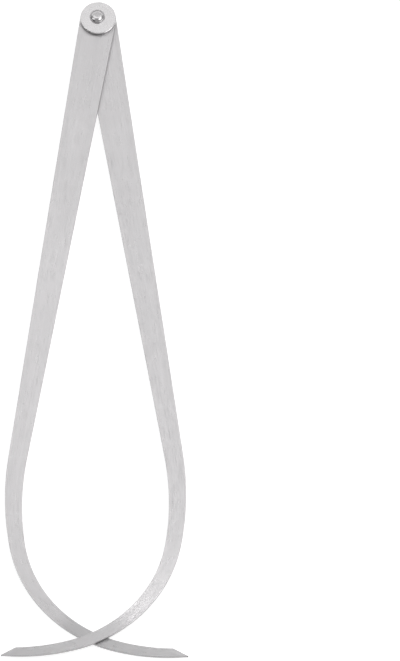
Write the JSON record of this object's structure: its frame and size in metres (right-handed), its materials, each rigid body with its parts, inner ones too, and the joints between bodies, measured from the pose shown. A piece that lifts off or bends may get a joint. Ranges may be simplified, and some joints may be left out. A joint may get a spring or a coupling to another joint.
{
  "type": "outside firm-joint caliper",
  "caption": "Bench caliper with bowed flat steel legs that turn on a riveted friction joint, for taking outside sizes by their points.",
  "frame": {"origin": "on the pivot axis, in the flat crown of the rear rivet head, on which the tool lies", "axes": "+Z along the pivot axis from the rear rivet head to the front one; -Y midway between the legs, towards the tips; +X towards the right leg's shank"},
  "size_m": [0.1536, 0.6118, 0.0184],
  "materials": {
    "leg_steel": "ground lengthwise, satin",
    "disc_steel": "turned face, polished chamfer",
    "rivet_steel": "hammered and polished head",
    "washer_brass": "plain rolled sheet"
  },
  "bodies": {
    "right_side": {"right_leg": "leg_steel", "rear_disc": "disc_steel", "friction_washer": "washer_brass", "front_disc": "disc_steel", "rivet": "rivet_steel"},
    "left_side": {"left_leg": "leg_steel"}
  },
  "joints": [
    {"name": "firm_joint", "type": "hinge", "parent": "right_side", "child": "left_side", "pos_m": [0, 0, 0.01067], "axis": [0, 0, -1], "range_deg": [-8, 162.2]}
  ]
}
